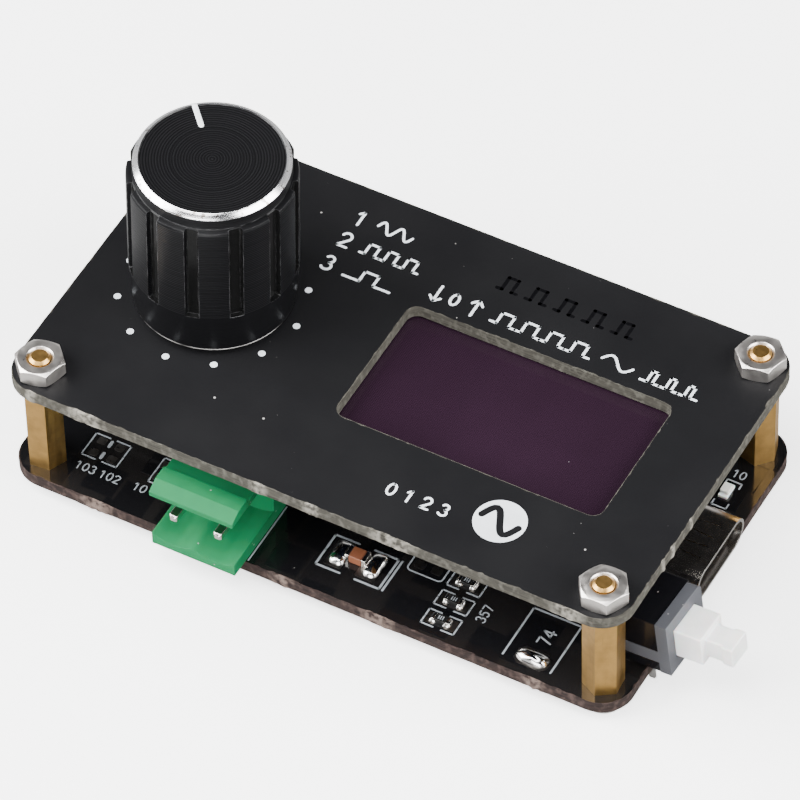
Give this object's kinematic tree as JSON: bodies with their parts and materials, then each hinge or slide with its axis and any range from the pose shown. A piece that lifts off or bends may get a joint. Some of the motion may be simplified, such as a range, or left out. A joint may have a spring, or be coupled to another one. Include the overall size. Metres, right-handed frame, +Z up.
{
  "type": "pocket oscilloscope kit",
  "caption": "Small two-board signal viewer: display window and push knob above, probe header, USB-C socket and latching power button between the boards.",
  "frame": {"origin": "middle of the whole object's footprint box, on the surface its four screw heads stand on", "axes": "+X along the long side towards the USB-C socket and power button, +Y away from the probe header, +Z up out of the front panel"},
  "size_m": [0.0678, 0.0364, 0.0315],
  "materials": {
    "main_board_lacquer": "glossy black solder mask",
    "panel_lacquer": "matt black solder mask",
    "brass": "drawn brass hexagon",
    "nickel_plate": "bright nickel plate",
    "steel_screw": "nickel plated steel",
    "dark_moulding": "black moulding",
    "tinned_pin": "bright tin plate",
    "zinc_plate": "zinc plated steel sheet",
    "die_cast_bush": "turned die casting",
    "spring_steel": "spring steel",
    "white_moulding": "white moulding",
    "shaft_aluminium": "turned aluminium",
    "knob_anodised": "black anodised aluminium with a bright-cut ring",
    "white_paint": "white paint fill",
    "display_film": "dark glossy polariser film",
    "display_glass": "thin display glass",
    "chip_black": "black epoxy package",
    "ribbon_film": "amber polyimide film",
    "module_lacquer": "dark blue solder mask",
    "gold_pin": "thin gold plate",
    "header_green": "green moulding",
    "socket_steel": "bright nickel plated steel shell",
    "switch_black": "glossy black moulding",
    "switch_grey": "grey moulding",
    "switch_white": "translucent white moulding",
    "ferrite_grey": "ferrite composite",
    "resistor_black": "glazed resistor film",
    "capacitor_brown": "brown ceramic",
    "solder": "bright solder",
    "lamp_clear": "clear resin lens"
  },
  "bodies": {
    "chassis": {"main_board": "main_board_lacquer", "front_panel": "panel_lacquer", "standoffs": "brass", "panel_nuts": "nickel_plate", "board_screws": "steel_screw", "encoder_base": "dark_moulding", "encoder_terminals": "tinned_pin", "encoder_plate": "zinc_plate", "encoder_bush": "die_cast_bush", "encoder_push_dome": "spring_steel", "display_film": "display_film", "display_glass": "display_glass", "display_cover_glass": "display_glass", "display_driver": "chip_black", "display_ribbon": "ribbon_film", "display_module": "module_lacquer", "display_pins": "gold_pin", "display_spacer": "dark_moulding", "probe_header": "header_green", "probe_pins": "tinned_pin", "usb_shell": "socket_steel", "usb_tongue": "dark_moulding", "usb_contacts": "gold_pin", "switch_housing": "switch_black", "switch_cap": "switch_grey", "switch_spring": "spring_steel", "switch_pins": "tinned_pin", "microcontroller": "chip_black", "microcontroller_leads": "tinned_pin", "amplifiers": "chip_black", "amplifier_leads": "tinned_pin", "regulators": "chip_black", "regulator_leads": "tinned_pin", "inductor": "ferrite_grey", "resistor_bodies": "resistor_black", "resistor_ends": "tinned_pin", "capacitor_bodies": "capacitor_brown", "capacitor_ends": "tinned_pin", "input_capacitor": "capacitor_brown", "input_capacitor_ends": "tinned_pin", "solder_mounds": "solder", "lamp_base": "white_moulding", "lamp_lens": "lamp_clear"},
    "rotor": {"encoder_rotor": "white_moulding"},
    "knob": {"encoder_shaft": "shaft_aluminium", "knob_core": "dark_moulding", "knob_shell": "knob_anodised", "knob_pointer": "white_paint"},
    "plunger": {"switch_plunger": "switch_white", "switch_contact": "spring_steel"}
  },
  "joints": [
    {"name": "knob_turn", "type": "hinge", "parent": "chassis", "child": "rotor", "pos_m": [-0.02222, 0.0008, 0.01387], "axis": [0.0297, 0, 0.9996], "continuous": true},
    {"name": "knob_push", "type": "slide", "parent": "rotor", "child": "knob", "axis": [-0.0297, 0, -0.9996], "range_m": [0, 0.0005], "stiffness_N_per_m": 4000, "springref_m": -0.0005},
    {"name": "power_press", "type": "slide", "parent": "chassis", "child": "plunger", "axis": [-0.9922, 0.052, -0.1132], "range_m": [0, 0.002], "stiffness_N_per_m": 400, "springref_m": -0.002, "deforming": ["switch_spring"]}
  ]
}
